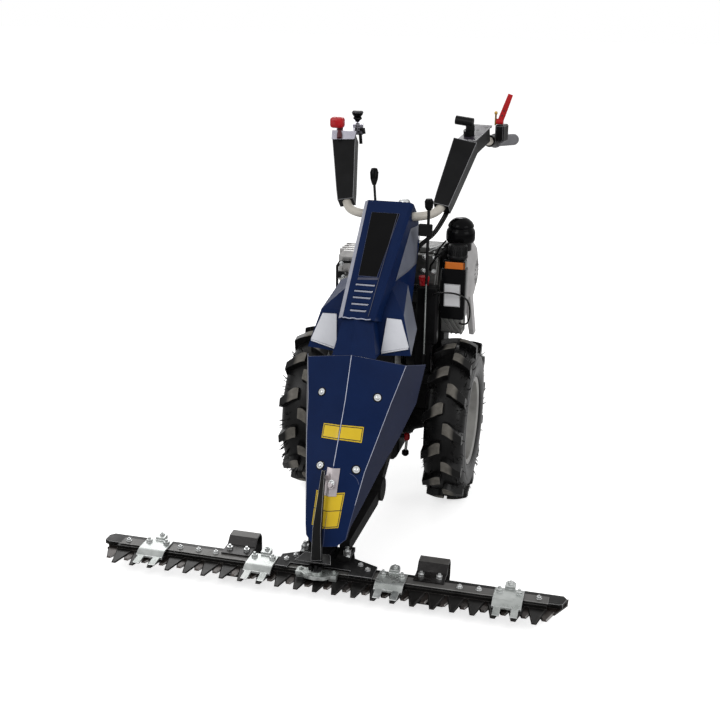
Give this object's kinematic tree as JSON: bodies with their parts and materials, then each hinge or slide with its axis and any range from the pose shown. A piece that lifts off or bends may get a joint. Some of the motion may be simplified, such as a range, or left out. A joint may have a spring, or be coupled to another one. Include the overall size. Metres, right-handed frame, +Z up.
{
  "type": "walk-behind motor mower",
  "caption": "Two-wheeled walk-behind motor mower with a long reciprocating cutter bar in front, creased hood, side-mounted engine and swept handlebar with control levers.",
  "frame": {"origin": "centre of the bounding box in plan, at ground height", "axes": "+Z up, -Y the front with the cutter bar, +X the side the engine's fan is on (right in a front view)"},
  "size_m": [1.264, 1.3832, 1.2052],
  "materials": {
    "blue": "satin",
    "black_metal": "satin",
    "black_cast": "painted satin",
    "black_plastic": "satin",
    "gloss_black": "gloss",
    "rubber": "matt",
    "tyre": "matt",
    "dark_steel": "oiled",
    "zinc": "galvanised",
    "grey_paint": "satin",
    "pale": "satin",
    "pale_cast": "painted satin",
    "cast": "cast",
    "red": "gloss",
    "red_metal": "satin",
    "grip": "matt",
    "lamp": "satin"
  },
  "bodies": {
    "machine": {"lower_hood": "blue", "upper_hood": "blue", "bar_carrier": "black_metal", "centre_plate": "black_metal", "guard_strap": "black_metal", "handlebar_mast": "black_metal", "lever_box": "black_metal", "muffler_guard": "black_metal", "gearbox": "black_cast", "front_cowl": "black_plastic", "lever_cover_left": "black_plastic", "lever_cover_right": "black_plastic", "fuel_tank": "black_plastic", "air_duct": "black_plastic", "window_panel": "gloss_black", "air_cleaner_dome": "gloss_black", "control_cables": "rubber", "engine_cable": "rubber", "lower_blade": "dark_steel", "back_bar": "dark_steel", "skid_left": "dark_steel", "skid_right": "dark_steel", "knife_clamp_1": "zinc", "knife_clamp_2": "zinc", "knife_clamp_3": "zinc", "knife_clamp_4": "zinc", "strap_bracket": "zinc", "control_plate_left": "zinc", "control_plate_right": "zinc", "muffler": "zinc", "wear_rail": "grey_paint", "handlebar_tube": "grey_paint", "fan_housing": "pale_cast", "crankcase": "cast", "cylinder": "cast", "cylinder_head": "cast", "carburettor": "cast", "grip_left": "grip", "grip_right": "grip", "lamp_panel_left": "lamp", "lamp_panel_right": "lamp"},
    "wheel_left": {"tyre_left": "tyre", "rim_left": "pale", "axle_hub_left": "dark_steel"},
    "wheel_right": {"tyre_right": "tyre", "rim_right": "pale", "axle_hub_right": "dark_steel"},
    "swing_lever": {"drive_lever": "dark_steel"},
    "knife_set": {"knife": "dark_steel", "knife_head": "zinc"},
    "stop_knob": {"stop_knob": "red"},
    "throttle_knob": {"throttle_knob": "black_plastic"},
    "clutch_lever": {"clutch_lever": "black_plastic"},
    "brake_lever": {"brake_lever": "red_metal"},
    "gear_lever_left": {"gear_lever_left": "dark_steel"},
    "gear_lever_right": {"gear_lever_right": "dark_steel"},
    "fuel_cap": {"fuel_cap": "black_plastic"},
    "filler_cap": {"filler_cap": "red"},
    "starter_grip": {"starter_grip": "black_plastic"},
    "handlebar_lock": {"handlebar_lock": "zinc"}
  },
  "joints": [
    {"name": "wheel_left_spin", "type": "hinge", "parent": "machine", "child": "wheel_left", "pos_m": [-0.2184, 0.09844, 0.25], "axis": [1, 0, 0], "continuous": true},
    {"name": "wheel_right_spin", "type": "hinge", "parent": "machine", "child": "wheel_right", "pos_m": [0.2184, 0.09844, 0.25], "axis": [1, 0, 0], "continuous": true},
    {"name": "lever_swing", "type": "hinge", "parent": "machine", "child": "swing_lever", "pos_m": [-0.012, -0.50156, 0.098], "axis": [0, 0, 1], "range_deg": [-11, 11]},
    {"name": "knife_stroke", "type": "slide", "parent": "machine", "child": "knife_set", "axis": [1, 0, 0], "range_m": [-0.025, 0.025]},
    {"name": "stop_knob_turn", "type": "hinge", "parent": "machine", "child": "stop_knob", "pos_m": [-0.21197, 0.29454, 1.08908], "axis": [0.045, -0.2123, 0.9762], "range_deg": [0, 60]},
    {"name": "throttle_swing", "type": "hinge", "parent": "machine", "child": "throttle_knob", "pos_m": [-0.17258, 0.35944, 1.11652], "axis": [1, 0, 0], "range_deg": [-25, 25]},
    {"name": "clutch_lever_turn", "type": "hinge", "parent": "machine", "child": "clutch_lever", "pos_m": [0.19052, 0.30907, 1.09125], "axis": [-0.045, -0.2123, 0.9762], "range_deg": [-25, 25]},
    {"name": "brake_lever_pull", "type": "hinge", "parent": "machine", "child": "brake_lever", "pos_m": [0.262, 0.44844, 1.1194], "axis": [-1, 0, 0], "range_deg": [0, 40]},
    {"name": "gear_lever_left_swing", "type": "hinge", "parent": "machine", "child": "gear_lever_left", "pos_m": [-0.04, 0.10844, 0.4193], "axis": [0, 1, 0], "range_deg": [-4, 8]},
    {"name": "gear_lever_right_swing", "type": "hinge", "parent": "machine", "child": "gear_lever_right", "pos_m": [0.1275, 0.02994, 0.4193], "axis": [1, 0, 0], "range_deg": [0, 12]},
    {"name": "fuel_cap_turn", "type": "hinge", "parent": "machine", "child": "fuel_cap", "pos_m": [0.2115, 0.06244, 0.7643], "axis": [0, 0, 1], "range_deg": [0, 90]},
    {"name": "filler_cap_turn", "type": "hinge", "parent": "machine", "child": "filler_cap", "pos_m": [0.116, 0.05344, 0.6806], "axis": [0, 0, 1], "range_deg": [0, 90]},
    {"name": "starter_pull", "type": "slide", "parent": "machine", "child": "starter_grip", "axis": [0, 1, 0], "range_m": [0, 0.5], "stiffness_N_per_m": 10},
    {"name": "handlebar_lock_turn", "type": "hinge", "parent": "machine", "child": "handlebar_lock", "pos_m": [0.04, 0.10144, 0.8993], "axis": [0, 0, 1], "range_deg": [0, 90]}
  ],
  "couplings": [
    {"joint": "knife_stroke", "follows": "lever_swing", "m_per_rad": 0.128}
  ]
}
